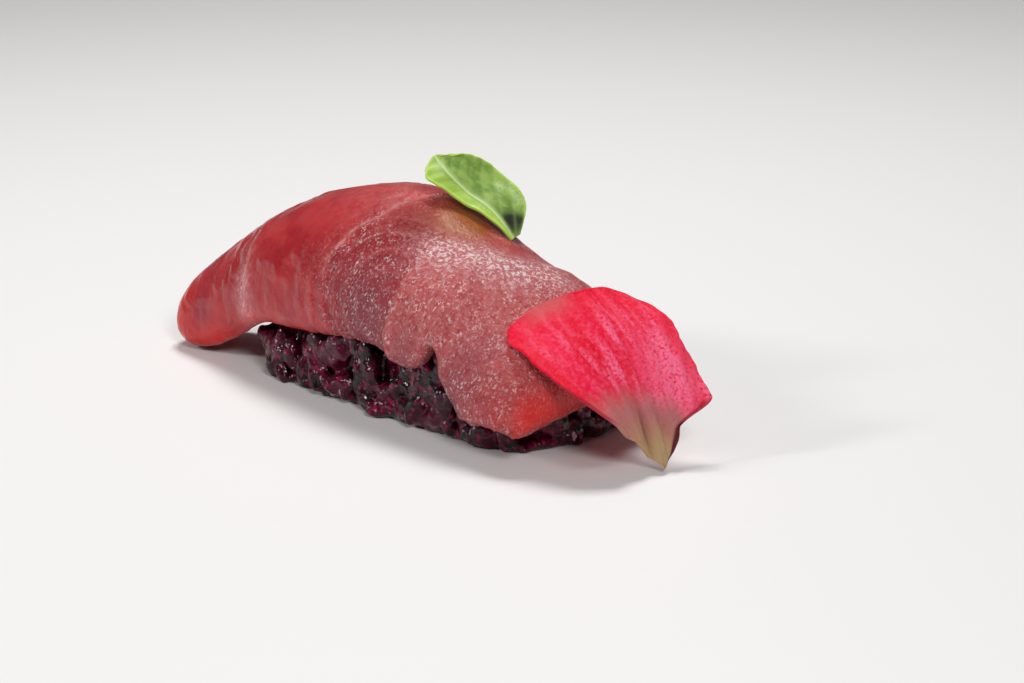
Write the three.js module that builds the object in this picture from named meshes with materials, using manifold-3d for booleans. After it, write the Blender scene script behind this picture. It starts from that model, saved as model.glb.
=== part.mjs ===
// One piece of tuna nigiri: a long slice of raw tuna draped over a block of dark purple rice,
// with a small green leaf on its crest and a pink petal leaning on one end. Millimetres, +Z up,
// +X along the block towards the petal, and the origin on the flat base of the block, near its
// middle. Each of the four pieces is one closed solid in its own named mesh.
import * as THREE from "three";
import { mergeVertices } from "three/addons/utils/BufferGeometryUtils.js";
import Module from "manifold-3d";

const wasm = await Module();
wasm.setup();

// Driving sizes of the block of rice.
const RICE_LENGTH = 56.6;
const RICE_WIDTH = 24.4;
const RICE_CROWN = 24;
const RICE_MIDDLE_X = -2.2;
const RICE_SQUARENESS = 0.42;
const RICE_TAPER = 3.2;
const CORE_INSET = 1.3;
const CORE_LAYERS = 9;
const CORE_SIDES = 30;
const CORE_TOP_SHARE = 0.995;
const CORE_LAYER_SPACING = 0.8;
const CORE_DEPTH_BELOW_BASE = 1;
const GRAIN_LENGTH = 6.2;
const GRAIN_WIDTH = 2.9;
const GRAIN_SIDES = 5;
const GRAIN_BANDS = 4;
const GRAIN_ROW_HEIGHTS = [1.7, 4.9, 8.0, 11.0];
const GRAINS_IN_ROW = 31;
const GRAIN_SEED = 11;
const GRAIN_INSET = 1.5;
const GRAIN_LIFT_SPREAD = 1.2;
const GRAIN_TILT_SPREAD = 2.6;
const GRAIN_TURN_SPREAD = 0.5;
const GRAIN_HIDDEN_SHARE = 0.4;
const GIRTH_CORNERS = 72;

// Driving sizes of the tuna slice.
const TUNA_THICKNESS = 6.2;
const TUNA_EDGE_RADIUS = 2.6;
const TUNA_STATIONS = 48;
const TUNA_ROUND_POINTS = 16;
const TUNA_EDGE_THINNING = 0.45;
const TUNA_END_MARGIN = 0.003;
const TUNA_RING_CROWDING = 0.45;
const TONGUE_TIP_SHARE = 0.06;
const FAR_END_SHARE = 0.05;
const FIT_GAP = 0.3;
const COVER_SHIFTS = [
  [-1, 0, 0],
  [1, 0, 0],
  [0, -1, 0],
  [0, 1, 0],
  [0, 0, -1],
];

// Driving sizes of the garnish.
const LEAF_THICKNESS = 0.5;
const PETAL_THICKNESS = 0.7;
const PETAL_LENGTH = 24;
const PETAL_FOOT_THICKENING = 0.9;
const PETAL_CREASE_HEIGHT = 0.26;
const PETAL_CREASES_PER_MM = 0.334;
const SHEET_EDGE_THINNING = 0.4;

// Small mathematical helpers.

function smoothStep(low, high, value) {
  const share = Math.min(1, Math.max(0, (value - low) / (high - low)));
  return share * share * (3 - 2 * share);
}

function bump(centre, spread, value) {
  return Math.exp(-(((value - centre) / spread) ** 2));
}

// A generator of repeatable numbers from 0 to 1.
function seededDraw(seed) {
  let state = seed >>> 0;
  return () => {
    state = (state * 1664525 + 1013904223) >>> 0;
    return state / 4294967296;
  };
}

// A smooth curve through evenly spaced values, read at a share from 0 to 1.
function through(values, share) {
  const last = values.length - 1;
  const place = Math.min(last - 1e-9, Math.max(0, share * last));
  const index = Math.floor(place);
  const t = place - index;
  const at = (k) => values[Math.min(last, Math.max(0, k))];
  const [a, b, c, d] = [at(index - 1), at(index), at(index + 1), at(index + 2)];
  return (
    b +
    0.5 *
      t *
      (c - a + t * (2 * a - 5 * b + 4 * c - d + t * (3 * (b - c) + d - a)))
  );
}

// Closed shapes from rings of points.

function loft(rings) {
  const count = rings[0].length;
  const positions = [];
  const indices = [];
  const add = (point) => {
    positions.push(point.x, point.y, point.z);
    return positions.length / 3 - 1;
  };
  const rows = rings.map((ring) => ring.map(add));
  for (let i = 0; i + 1 < rows.length; i += 1) {
    for (let j = 0; j < count; j += 1) {
      const k = (j + 1) % count;
      indices.push(rows[i][j], rows[i + 1][k], rows[i][k]);
      indices.push(rows[i][j], rows[i + 1][j], rows[i + 1][k]);
    }
  }
  const centre = (ring) =>
    ring
      .reduce((sum, point) => sum.add(point), new THREE.Vector3())
      .divideScalar(ring.length);
  const first = add(centre(rings[0]));
  const final = add(centre(rings[rings.length - 1]));
  for (let j = 0; j < count; j += 1) {
    const k = (j + 1) % count;
    indices.push(first, rows[0][j], rows[0][k]);
    indices.push(final, rows[rows.length - 1][k], rows[rows.length - 1][j]);
  }
  const geometry = new THREE.BufferGeometry();
  geometry.setAttribute(
    "position",
    new THREE.Float32BufferAttribute(positions, 3),
  );
  geometry.setIndex(indices);
  return geometry;
}

function toSolid(geometry) {
  const bare = geometry.clone();
  bare.deleteAttribute("normal");
  bare.deleteAttribute("uv");
  const merged = mergeVertices(bare, 1e-4);
  return new wasm.Manifold(
    new wasm.Mesh({
      numProp: 3,
      vertProperties: new Float32Array(merged.attributes.position.array),
      triVerts: new Uint32Array(merged.index.array),
    }),
  );
}

function toGeometry(solid) {
  const mesh = solid.getMesh();
  const geometry = new THREE.BufferGeometry();
  geometry.setAttribute(
    "position",
    new THREE.Float32BufferAttribute(Array.from(mesh.vertProperties), 3),
  );
  geometry.setIndex(Array.from(mesh.triVerts));
  return geometry;
}

// The tuna slice. Three lines guide it from the tongue that hangs to the table, over the rice
// and down past the other end: the crest, and the lips of the near and the far side.

const guide = (points) =>
  new THREE.CatmullRomCurve3(
    points.map(([x, y, z]) => new THREE.Vector3(x, y, z)),
    false,
    "centripetal",
  );
const crest = guide([
  [-48.2, -5.6, 3.2],
  [-45.2, -5.4, 9.6],
  [-38.4, -5.0, 15.0],
  [-29.8, -4.2, 20.5],
  [-20.4, -3.2, 25.2],
  [-10.8, -2.4, 27.6],
  [-1.6, -1.8, 28.0],
  [8.0, -1.4, 24.1],
  [17.4, -1.2, 21.3],
  [26.2, -1.4, 16.4],
  [30.6, -2.0, 8.4],
]);
const nearLip = guide([
  [-45.2, -10.0, 1.0],
  [-40.0, -9.8, 0.5],
  [-33.2, -9.2, 3.2],
  [-25.0, -10.4, 7.4],
  [-16.5, -11.4, 8.3],
  [-8.0, -12.0, 9.4],
  [0.0, -12.3, 9.9],
  [8.0, -12.6, 9.6],
  [16.0, -13.2, 8.0],
  [23.0, -13.8, 5.4],
  [28.8, -14.0, 4.2],
]);
const farLip = guide([
  [-45.2, -0.4, 1.2],
  [-40.2, 1.4, 2.6],
  [-33.0, 4.4, 6.4],
  [-25.0, 7.4, 9.6],
  [-16.5, 9.6, 10.6],
  [-8.0, 10.7, 11.0],
  [0.0, 11.1, 11.0],
  [8.0, 11.1, 10.4],
  [16.0, 10.9, 9.6],
  [22.5, 10.4, 8.4],
  [27.6, 9.2, 7.2],
]);
const nearRoundness = [2.1, 2.0, 1.9, 1.9, 2.0, 2.1, 2.1, 2.1, 2.1, 2.1, 2.2];
const farRoundness = [2.2, 2.2, 2.2, 2.2, 2.2, 2.1, 1.9, 1.7, 1.7, 1.8, 2.1];

// The two lobes of the near lip and the notch between them, as how far the lip hangs below its
// guide: each has its place and spread in shares of the length.
const nearLobes = [
  { hang: 0.9, place: 0.68, spread: 0.04 },
  { hang: -5.4, place: 0.763, spread: 0.019 },
  { hang: 2.2, place: 0.85, spread: 0.05 },
];
const farWave = { hang: 0.9, turns: 3, place: 0.5, spread: 0.3 };

function nearHang(share) {
  return nearLobes.reduce(
    (sum, lobe) => sum + lobe.hang * bump(lobe.place, lobe.spread, share),
    0,
  );
}

function farHang(share) {
  const wave = Math.sin(2 * Math.PI * farWave.turns * share);
  return farWave.hang * wave * bump(farWave.place, farWave.spread, share);
}

// How full the slice is at a share of its length: 1 in the body, 0 at its two ends.
function fullness(share) {
  const tongue = Math.min(1, share / TONGUE_TIP_SHARE);
  const end = Math.min(1, (1 - share) / FAR_END_SHARE);
  return Math.sqrt(Math.max(0, 1 - (1 - tongue) ** 2 - (1 - end) ** 2));
}

// One side of the slice's middle line, from the crest to a lip. Turn goes from 0 to a quarter.
function flank(top, lip, across, power) {
  const reach = lip.clone().sub(top);
  const out = reach.dot(across);
  const down = reach.clone().addScaledVector(across, -out);
  const side = across.clone().multiplyScalar(Math.sign(out));
  const up = down.clone().negate().normalize();
  return (turn) => {
    const sine = Math.max(1e-6, Math.sin(turn));
    const cosine = Math.max(1e-6, Math.cos(turn));
    const middle = top
      .clone()
      .addScaledVector(across, out * sine ** power)
      .addScaledVector(down, 1 - cosine ** power);
    const normal = side
      .clone()
      .multiplyScalar(down.length() * cosine ** (power - 1) * sine)
      .addScaledVector(up, Math.abs(out) * sine ** (power - 1) * cosine)
      .normalize();
    return { middle, normal };
  };
}

// A closed ring round the slice at a share of its length. Grow thickens it by that much.
function tunaRing(share, grow) {
  const top = crest.getPoint(share);
  const near = nearLip.getPoint(share);
  const far = farLip.getPoint(share);
  near.z -= nearHang(share);
  far.z -= farHang(share);
  const across = far.clone().sub(near).normalize();
  const drop = near.clone().add(far).multiplyScalar(0.5).sub(top);
  drop.addScaledVector(across, -drop.dot(across)).normalize();
  const full = fullness(share);
  top.addScaledVector(drop, TUNA_THICKNESS / 2);
  const sides = [
    flank(top, near, across, 2 / through(nearRoundness, share)),
    flank(top, far, across, 2 / through(farRoundness, share)),
  ];
  const outer = [];
  const inner = [];
  for (let k = 0; k <= TUNA_ROUND_POINTS; k += 1) {
    const swing = -Math.cos((Math.PI * k) / TUNA_ROUND_POINTS);
    const { middle, normal } = sides[swing < 0 ? 0 : 1](Math.abs(swing) * Math.PI / 2);
    const lip = swing < 0 ? near : far;
    const edge = Math.min(1, middle.distanceTo(lip) / TUNA_EDGE_RADIUS);
    const thin = 1 - TUNA_EDGE_THINNING * smoothStep(0.35, 1, Math.abs(swing));
    const round = Math.sqrt(Math.max(0.02, 1 - (1 - edge) ** 2));
    const half = (TUNA_THICKNESS / 2) * full * thin * round + grow;
    outer.push(middle.clone().addScaledVector(normal, half));
    inner.push(middle.clone().addScaledVector(normal, -half));
  }
  return [...outer, ...inner.reverse()];
}

// The whole slice. Its rings stand a little closer together towards the two ends.
function tunaGeometry(grow) {
  const rings = [];
  for (let i = 0; i <= TUNA_STATIONS; i += 1) {
    const even = i / TUNA_STATIONS;
    const eased = 0.5 - 0.5 * Math.cos(Math.PI * even);
    const spaced = even + TUNA_RING_CROWDING * (eased - even);
    const share = TUNA_END_MARGIN + (1 - 2 * TUNA_END_MARGIN) * spaced;
    rings.push(tunaRing(share, grow));
  }
  return loft(rings);
}

// The block of rice: a rounded core with a flat base, and grains fused to its sides.

function riceOutline(angle, height, inset) {
  const rise = Math.max(0, height / RICE_CROWN);
  const fall = Math.sqrt(Math.max(0, 1 - rise ** RICE_TAPER));
  const squared = (value) => Math.sign(value) * Math.abs(value) ** RICE_SQUARENESS;
  return new THREE.Vector3(
    RICE_MIDDLE_X + squared(Math.cos(angle)) * (RICE_LENGTH / 2 - inset) * fall,
    squared(Math.sin(angle)) * (RICE_WIDTH / 2 - inset) * fall,
    height,
  );
}

// The core starts below the base, which a flat cut then trims.
function riceCore() {
  const rings = [];
  for (let i = 0; i <= CORE_LAYERS; i += 1) {
    const rise = CORE_TOP_SHARE * RICE_CROWN * (i / CORE_LAYERS) ** CORE_LAYER_SPACING;
    const height = i === 0 ? -CORE_DEPTH_BELOW_BASE : rise;
    const ring = [];
    for (let k = 0; k < CORE_SIDES; k += 1) {
      const angle = (-2 * Math.PI * (k + 0.5)) / CORE_SIDES;
      ring.push(riceOutline(angle, height, CORE_INSET));
    }
    rings.push(ring);
  }
  return toSolid(loft(rings));
}

function riceGrains() {
  const draw = seededDraw(GRAIN_SEED);
  const swing = (spread) => (draw() - 0.5) * spread;
  const grains = [];
  const corners = Array.from(
    { length: GIRTH_CORNERS },
    (_, k) => (2 * Math.PI * (k + 0.5)) / GIRTH_CORNERS,
  );
  GRAIN_ROW_HEIGHTS.forEach((rowHeight, row) => {
    const girth = new THREE.CatmullRomCurve3(
      corners.map((angle) => riceOutline(angle, rowHeight, GRAIN_INSET)),
      true,
    );
    for (let i = 0; i < GRAINS_IN_ROW; i += 1) {
      const share = ((i + 0.5 * (row % 2) + 0.5 * draw()) / GRAINS_IN_ROW) % 1;
      const along = girth.getTangentAt(share);
      const grain = new THREE.SphereGeometry(1, GRAIN_SIDES, GRAIN_BANDS);
      grain.scale(GRAIN_WIDTH / 2, GRAIN_LENGTH / 2, GRAIN_WIDTH / 2);
      grain.rotateZ(Math.PI / 2 + swing(GRAIN_TURN_SPREAD));
      grain.rotateY(swing(GRAIN_TILT_SPREAD));
      grain.rotateZ(Math.atan2(along.y, along.x));
      const place = girth.getPointAt(share);
      grain.translate(place.x, place.y, place.z + swing(GRAIN_LIFT_SPREAD));
      grains.push(toSolid(grain));
    }
  });
  return grains;
}

// The block of core and grains, cut clear of the slice by a thickened copy of it and by copies
// shifted to the two ends, to the two sides and downwards.
function riceGeometry() {
  let cover = toSolid(tunaGeometry(FIT_GAP));
  const bare = toSolid(tunaGeometry(0));
  for (const [x, y, z] of COVER_SHIFTS) {
    cover = cover.add(bare.translate([x * FIT_GAP, y * FIT_GAP, z * FIT_GAP]));
  }
  let block = riceCore();
  for (const grain of riceGrains()) {
    if (grain.intersect(cover).volume() < GRAIN_HIDDEN_SHARE * grain.volume()) {
      block = block.add(grain);
    }
  }
  block = block.trimByPlane([0, 0, 1], 0).subtract(cover);
  const pieces = block.decompose().sort((a, b) => b.volume() - a.volume());
  return toGeometry(pieces[0]);
}

// Thin sheets. A leaf or petal is a ring of two like faces at each station, from base to tip.

function sheetGeometry(sheet) {
  const rings = [];
  for (let i = 0; i <= sheet.stations; i += 1) {
    const even = i / sheet.stations;
    const up = 0.5 * even + 0.25 * (1 - Math.cos(Math.PI * even));
    const front = [];
    const back = [];
    for (let k = 0; k <= sheet.points; k += 1) {
      const swing = (2 * k) / sheet.points - 1;
      const point = sheet.middle(up, swing);
      const half = sheet.thickness(up, swing) / 2;
      front.push(point.clone().addScaledVector(sheet.facing, half));
      back.push(point.clone().addScaledVector(sheet.facing, -half));
    }
    rings.push([...front, ...back.reverse()]);
  }
  return loft(rings);
}

// The leaf lies across the crest of the slice. Its midrib is the spine: the narrow near half
// slopes down to the slice, and the wide far half is dished and reaches over the far shoulder.

const leafSpine = guide([
  [8.9, 3.7, 23.7],
  [7.4, 3.4, 25.5],
  [5.2, 2.4, 26.9],
  [3.0, 1.5, 28.1],
  [1.3, 0.8, 29.5],
  [0.1, 0.3, 30.6],
  [-1.0, 0.1, 31.5],
  [-1.7, 0.0, 32.1],
]);
const leaf = {
  stations: 15,
  points: 9,
  facing: new THREE.Vector3(0.52, 0.02, 0.85).normalize(),
  nearWay: new THREE.Vector3(0.2, -0.9, -0.4).normalize(),
  farWay: new THREE.Vector3(-0.2, 0.97, 0.16).normalize(),
  nearWidths: [0.6, 1.5, 1.8, 2.0, 2.3, 2.8, 3.3, 2.6],
  farWidths: [0.9, 5.0, 6.7, 7.3, 7.2, 6.4, 4.6, 0.8],
  dish: 0.75,
  middle(up, swing) {
    const near = swing > 0;
    const reach = Math.abs(swing) * through(near ? leaf.nearWidths : leaf.farWidths, up);
    const hollow = near ? 0 : leaf.dish * Math.sin(Math.PI * swing ** 2);
    return leafSpine
      .getPointAt(up)
      .addScaledVector(near ? leaf.nearWay : leaf.farWay, reach)
      .addScaledVector(leaf.facing, -hollow * Math.sin(Math.PI * up));
  },
  thickness: (up, swing) => LEAF_THICKNESS * (1 - SHEET_EDGE_THINNING * swing ** 2),
};

// The petal stands on its pale tip and leans on the end of the slice. Up runs from that tip,
// left is towards the near side of the block, and out is away from the slice.

const petalFoot = new THREE.Vector3(40.7, -0.3, 0.5);
const petalUp = new THREE.Vector3(-0.541, 0.029, 0.841).normalize();
const petalOut = new THREE.Vector3(0.833, -0.122, 0.54).normalize();
const petalLeft = petalOut.clone().cross(petalUp).normalize();
const petal = {
  stations: 22,
  points: 12,
  facing: petalOut,
  leftWidths: [0.5, 2.6, 6.0, 8.6, 10.8, 11.9, 12.3, 12.0, 7.5],
  rightWidths: [0.5, 2.0, 6.4, 9.4, 8.6, 8.0, 7.0, 5.2, 2.6],
  leftCup: [0.06, 0.06, 0.055, 0.022, 0.006, -0.006, -0.015, -0.02, -0.024],
  rightCup: [0.06, 0.04, 0.025, 0.022, 0.022, 0.022, 0.028, 0.032, 0.03],
  bow: [0, 0.4, 0.7, 0.9, 0.9, 0.6, -0.1, -1.5, -3.1],
  middle(up, swing) {
    const right = swing < 0;
    const reach = swing * through(right ? petal.rightWidths : petal.leftWidths, up);
    const cup = through(right ? petal.rightCup : petal.leftCup, up);
    const wave = Math.cos(2 * Math.PI * PETAL_CREASES_PER_MM * reach);
    const crease = PETAL_CREASE_HEIGHT * wave * smoothStep(0.55, 0.05, up);
    return petalFoot
      .clone()
      .addScaledVector(petalUp, up * PETAL_LENGTH)
      .addScaledVector(petalLeft, reach)
      .addScaledVector(petalOut, through(petal.bow, up) + cup * reach ** 2 + crease);
  },
  thickness(up, swing) {
    const full = PETAL_THICKNESS * (1 + PETAL_FOOT_THICKENING * smoothStep(0.45, 0.05, up));
    return full * (1 - SHEET_EDGE_THINNING * swing ** 2);
  },
};

function colour(hex, roughness) {
  return new THREE.MeshStandardMaterial({ color: hex, roughness, metalness: 0 });
}

function piece(name, geometry, material) {
  const mesh = new THREE.Mesh(geometry, material);
  mesh.name = name;
  return mesh;
}

const nigiri = new THREE.Group();
nigiri.add(piece("tuna_slice", tunaGeometry(0), colour(0xa8383c, 0.35)));
nigiri.add(piece("rice", riceGeometry(), colour(0x3a1226, 0.3)));
nigiri.add(piece("leaf", sheetGeometry(leaf), colour(0x5d9a2c, 0.45)));
nigiri.add(piece("petal", sheetGeometry(petal), colour(0xe0234c, 0.5)));

export default nigiri;
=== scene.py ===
"""One piece of tuna nigiri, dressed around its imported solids.

A long slice of raw tuna lies over a block of dark purple rice, with a small green leaf on its
crest and a pink petal leaning on one end. Every length is in metres unless its name or its
docstring says millimetres, and +X runs along the block towards the petal.
"""
from __future__ import annotations

import logging
import math
import random
from collections.abc import Sequence
from dataclasses import dataclass, field
from enum import Enum

import bpy
import numpy as np
from mathutils import Matrix, Vector
from mathutils.bvhtree import BVHTree


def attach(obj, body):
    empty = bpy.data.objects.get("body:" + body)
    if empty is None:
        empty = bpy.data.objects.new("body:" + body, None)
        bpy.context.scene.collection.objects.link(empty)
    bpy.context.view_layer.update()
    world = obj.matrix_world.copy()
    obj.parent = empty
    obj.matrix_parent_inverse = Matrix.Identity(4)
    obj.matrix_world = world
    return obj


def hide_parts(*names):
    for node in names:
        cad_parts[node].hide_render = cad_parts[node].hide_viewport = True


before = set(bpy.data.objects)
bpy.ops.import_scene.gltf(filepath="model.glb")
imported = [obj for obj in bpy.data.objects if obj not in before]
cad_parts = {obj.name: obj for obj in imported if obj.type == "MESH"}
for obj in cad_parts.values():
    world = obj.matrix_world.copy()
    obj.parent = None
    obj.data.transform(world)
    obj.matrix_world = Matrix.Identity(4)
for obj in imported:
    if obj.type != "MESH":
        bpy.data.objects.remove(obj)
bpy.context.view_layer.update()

MM = 0.001
LOG = logging.getLogger("nigiri")
Colour = tuple[float, float, float]
Triple = tuple[float, float, float]
Values = float | np.ndarray
Piece = bpy.types.Object
Socket = bpy.types.NodeSocket


class Half(Enum):
    """The two halves of the leaf's blade, on either side of its midrib."""

    NEAR = "near"
    FAR = "far"


def ease(low: float, high: float, value: Values) -> Values:
    """Eases from 0 at low to 1 at high."""
    share = np.clip((value - low) / (high - low), 0.0, 1.0)
    return share * share * (3.0 - 2.0 * share)


def bell(value: Values, width: float) -> Values:
    """Gives 1 at 0, falling softly on both sides over that width."""
    return np.exp(-((value / width) ** 2))


def through(values: Sequence[float], share: float) -> float:
    """Reads a smooth curve through evenly spaced values.

    Args:
        values: the heights of the curve, first to last.
        share: how far along, from 0 to 1.

    Returns:
        The height there.
    """
    last = len(values) - 1
    place = min(last - 1e-9, max(0.0, share * last))
    index = int(place)
    t = place - index
    a, b, c, d = (values[min(last, max(0, index + k))] for k in (-1, 0, 1, 2))
    return b + 0.5 * t * (c - a + t * (2 * a - 5 * b + 4 * c - d + t * (3 * (b - c) + d - a)))


def distance_to_line(places: np.ndarray, line: Sequence[Triple]) -> np.ndarray:
    """Measures how far each place is from a bent line.

    Args:
        places: one row of X, Y and Z for each place, in millimetres.
        line: the corners of the line, in millimetres.

    Returns:
        The distances in millimetres.
    """
    corners = np.array(line)
    best = np.full(len(places), np.inf)
    for start, end in zip(corners[:-1], corners[1:]):
        along = end - start
        share = np.clip((places - start) @ along / (along @ along), 0.0, 1.0)
        gap = np.linalg.norm(places - start - share[:, None] * along, axis=1)
        best = np.minimum(best, gap)
    return best


def past_line(places: np.ndarray, line: Sequence[Triple]) -> np.ndarray:
    """Tells how far past a line that runs down the near side each place is.

    Args:
        places: rows of millimetres.
        line: the corners of the line, from the top down.

    Returns:
        Millimetres past the line along the block, below 0 before it.
    """
    corners = np.array(line)[::-1]
    return places[:, 0] - np.interp(places[:, 2], corners[:, 2], corners[:, 0])


@dataclass(frozen=True)
class Spot:
    """A soft patch: its strength at the centre, and its reach along each axis in millimetres."""

    strength: float
    centre: Triple
    reach: Triple

    def on(self, places: np.ndarray) -> np.ndarray:
        """Gives how strong the patch is at each place."""
        scaled = (places - np.array(self.centre)) / np.array(self.reach)
        return self.strength * np.exp(-(scaled**2).sum(axis=1))


def select_only(piece: Piece) -> None:
    """Deselects everything, then selects one piece and makes it active.

    Args:
        piece: the object to work on next.
    """
    if bpy.context.mode != "OBJECT":
        bpy.ops.object.mode_set(mode="OBJECT")
    bpy.ops.object.select_all(action="DESELECT")
    piece.select_set(True)
    bpy.context.view_layer.objects.active = piece


def finish_modifier(piece: Piece, kind: str, **settings: object) -> None:
    """Adds a modifier and applies it.

    Args:
        piece: the object that gets it.
        kind: Blender's name for the modifier.
        settings: values of the modifier's own properties.
    """
    select_only(piece)
    modifier = piece.modifiers.new(kind.title(), kind)
    for name, value in settings.items():
        setattr(modifier, name, value)
    bpy.ops.object.modifier_apply(modifier=modifier.name)


def merged_copy(node: str, name: str) -> Piece:
    """Copies a CAD node and merges its loose triangles into one closed skin.

    Args:
        node: the CAD node's name.
        name: the new piece's name.

    Returns:
        The new piece, in the same place.
    """
    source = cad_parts[node]
    mesh = source.data.copy()
    mesh.name = name
    piece = bpy.data.objects.new(name, mesh)
    bpy.context.scene.collection.objects.link(piece)
    select_only(piece)
    bpy.ops.object.mode_set(mode="EDIT")
    bpy.ops.mesh.select_all(action="SELECT")
    bpy.ops.mesh.remove_doubles(threshold=0.001 * MM)
    bpy.ops.object.mode_set(mode="OBJECT")
    piece.data.materials.clear()
    return piece


def corner_rows(piece: Piece, name: str) -> np.ndarray:
    """Reads one vector for each corner of a mesh.

    Args:
        piece: the object.
        name: "co" for places, or "normal" for outward directions.

    Returns:
        One row for each corner, in Blender's own units.
    """
    flat = np.empty(3 * len(piece.data.vertices))
    piece.data.vertices.foreach_get(name, flat)
    return flat.reshape(-1, 3)


def places_of(piece: Piece) -> np.ndarray:
    """Reads the corners of a mesh, one row of millimetres each."""
    return corner_rows(piece, "co") / MM


def move_corners(piece: Piece, places: np.ndarray) -> None:
    """Puts the corners of a mesh at new places, in millimetres."""
    piece.data.vertices.foreach_set("co", (places * MM).ravel())
    piece.data.update()


def paint(piece: Piece, name: str, values: np.ndarray) -> None:
    """Stores one value for each corner under a name that a finish reads."""
    layer = piece.data.attributes.new(name, "FLOAT", "POINT")
    layer.data.foreach_set("value", np.clip(values, 0.0, 1.0).astype(np.float32))


def cloud_displace(piece: Piece, size_mm: float, height_mm: float, group: str = "") -> None:
    """Lifts and sinks a skin by soft clouds.

    Args:
        piece: the object whose skin moves.
        size_mm: how large the clouds are.
        height_mm: from the lowest hollow to the highest rise.
        group: the vertex group that limits it, or nothing for the whole skin.
    """
    clouds = bpy.data.textures.new(f"{piece.name} clouds {size_mm}", "CLOUDS")
    clouds.noise_scale = size_mm * MM
    clouds.noise_depth = 2
    strength = height_mm * MM
    finish_modifier(
        piece, "DISPLACE", texture=clouds, texture_coords="LOCAL", strength=strength, vertex_group=group
    )


def dress(piece: Piece, material: bpy.types.Material) -> None:
    """Shades a piece smooth and gives it its material.

    Args:
        piece: the finished mesh.
        material: its only material.
    """
    select_only(piece)
    bpy.ops.object.shade_smooth()
    piece.data.materials.append(material)


class NodeBoard:
    """Builds one material out of shader nodes that read Object coordinates in millimetres."""

    def __init__(self, name: str) -> None:
        """Starts a material with its usual shader.

        Args:
            name: the material's name.
        """
        self.material = bpy.data.materials.new(name)
        self.material.use_nodes = True
        self.tree = self.material.node_tree
        self.shader = self.tree.nodes["Principled BSDF"]
        self.coordinates = self.tree.nodes.new("ShaderNodeTexCoord")
        self.place = self.stretched((1.0, 1.0, 1.0))

    def stretched(self, frequency: Triple, turn: Triple = (0.0, 0.0, 0.0)) -> Socket:
        """Turns Object coordinates into millimetres, multiplied by a frequency on each axis.

        Args:
            frequency: how many units of the pattern fit in a millimetre, along each axis.
            turn: a turn about each axis first, in degrees.

        Returns:
            The vector socket.
        """
        turned = self.tree.nodes.new("ShaderNodeMapping")
        turned.inputs["Rotation"].default_value = [math.radians(angle) for angle in turn]
        self.tree.links.new(self.coordinates.outputs["Object"], turned.inputs["Vector"])
        scaled = self.tree.nodes.new("ShaderNodeMapping")
        scaled.inputs["Scale"].default_value = [value / MM for value in frequency]
        self.tree.links.new(turned.outputs["Vector"], scaled.inputs["Vector"])
        return scaled.outputs["Vector"]

    def surface_map(self, repeats: tuple[float, float]) -> Socket:
        """Reads the piece's own UV map.

        Args:
            repeats: how many units of the pattern fit across and along the piece.

        Returns:
            The vector socket.
        """
        scaled = self.tree.nodes.new("ShaderNodeMapping")
        scaled.inputs["Scale"].default_value = (repeats[0], repeats[1], 1.0)
        self.tree.links.new(self.coordinates.outputs["UV"], scaled.inputs["Vector"])
        return scaled.outputs["Vector"]

    def feed(self, socket: Socket, value: object) -> None:
        """Links a socket, or sets a plain number or colour on it.

        Args:
            socket: the input.
            value: an output socket, a number, a colour or a vector.
        """
        if isinstance(value, Socket):
            self.tree.links.new(value, socket)
        elif isinstance(value, tuple) and len(value) == 3 and socket.type == "RGBA":
            socket.default_value = (*value, 1.0)
        else:
            socket.default_value = value

    def noise(
        self,
        frequency: float,
        vector: Socket | None = None,
        detail: float = 3.0,
        roughness: float = 0.5,
        distortion: float = 0.0,
    ) -> Socket:
        """Adds soft noise.

        Args:
            frequency: how many blobs fit in one unit of the vector.
            vector: where it is read, or nothing for plain millimetres.
            detail: how many finer layers it has.
            roughness: how strong the finer layers are.
            distortion: how much it swirls.

        Returns:
            The value socket, mostly from 0.3 to 0.7.
        """
        noise = self.tree.nodes.new("ShaderNodeTexNoise")
        noise.inputs["Scale"].default_value = frequency
        noise.inputs["Detail"].default_value = detail
        noise.inputs["Roughness"].default_value = roughness
        noise.inputs["Distortion"].default_value = distortion
        self.tree.links.new(vector or self.place, noise.inputs["Vector"])
        return noise.outputs["Fac"]

    def painted(self, name: str) -> Socket:
        """Reads a value that was painted on the mesh.

        Args:
            name: the name that it was painted under.

        Returns:
            The value socket.
        """
        attribute = self.tree.nodes.new("ShaderNodeAttribute")
        attribute.attribute_name = name
        return attribute.outputs["Fac"]

    def maths(self, operation: str, first: object, second: object) -> Socket:
        """Works out one sum, clamped to the range from 0 to 1.

        Args:
            operation: Blender's name for the kind of sum.
            first: a number or a socket.
            second: a number or a socket.

        Returns:
            The value socket.
        """
        sum_node = self.tree.nodes.new("ShaderNodeMath")
        sum_node.operation = operation
        sum_node.use_clamp = True
        self.feed(sum_node.inputs[0], first)
        self.feed(sum_node.inputs[1], second)
        return sum_node.outputs["Value"]

    def times(self, first: object, second: object) -> Socket:
        """Multiplies two numbers or sockets."""
        return self.maths("MULTIPLY", first, second)

    def eased(self, value: object, low: float, high: float) -> Socket:
        """Eases a value from 0 at low to 1 at high.

        Args:
            value: a number or a socket.
            low: where the ease starts.
            high: where it ends.

        Returns:
            The value socket.
        """
        spread = self.tree.nodes.new("ShaderNodeMapRange")
        spread.interpolation_type = "SMOOTHSTEP"
        spread.inputs["From Min"].default_value = low
        spread.inputs["From Max"].default_value = high
        self.feed(spread.inputs["Value"], value)
        return spread.outputs["Result"]

    def mix(self, share: object, first: object, second: object) -> Socket:
        """Mixes two colours.

        Args:
            share: how much of the second, from 0 to 1.
            first: a colour or a socket.
            second: a colour or a socket.

        Returns:
            The colour socket.
        """
        mixer = self.tree.nodes.new("ShaderNodeMix")
        mixer.data_type = "RGBA"
        self.feed(mixer.inputs["Factor"], share)
        self.feed(mixer.inputs[6], first)
        self.feed(mixer.inputs[7], second)
        return mixer.outputs[2]

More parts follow.
